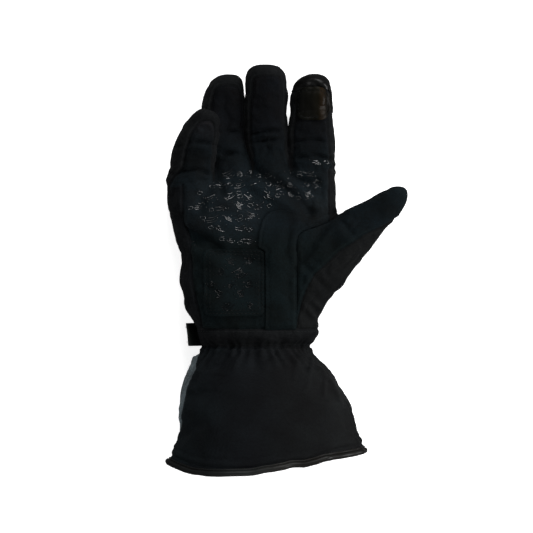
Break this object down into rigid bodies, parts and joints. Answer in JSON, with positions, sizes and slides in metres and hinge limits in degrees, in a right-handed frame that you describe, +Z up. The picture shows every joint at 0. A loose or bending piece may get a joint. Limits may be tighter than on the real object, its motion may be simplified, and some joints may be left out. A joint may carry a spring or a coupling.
{
  "type": "motorcycle glove",
  "caption": "Winter motorcycle glove for the right hand, palm up: padded fingers, stitched palm patches, leather index tip, gathered wrist and a flared gauntlet with a bound edge",
  "frame": {"origin": "on the flat patch of the back of the hand that the glove rests on, under the middle of the palm", "axes": "+X to the thumb side, +Y to the fingertips, +Z up out of the palm"},
  "size_m": [0.1757, 0.2992, 0.0623],
  "materials": {
    "softshell": "matt woven stretch softshell",
    "suede": "matt synthetic suede",
    "touch_leather": "smooth conductive leather, dark brown",
    "tip_leather": "glossy smooth leather",
    "strap": "dense woven tape",
    "grey_softshell": "matt woven softshell, grey",
    "binding": "satin coated binding tape"
  },
  "bodies": {
    "root": {"finger_middle": "softshell", "finger_index": "softshell", "finger_ring": "softshell", "finger_little": "softshell", "thumb_front": "suede", "thumb_back": "softshell", "palm_panel": "softshell", "side_panel": "softshell", "back_panel": "softshell", "palm_saddle": "suede", "heel_patch": "suede", "index_touch_pad": "touch_leather", "index_tip_cap": "tip_leather", "wrist_band": "softshell", "wrist_strap": "strap", "cuff_front": "softshell", "cuff_back": "grey_softshell", "hem_binding": "binding"}
  },
  "joints": []
}
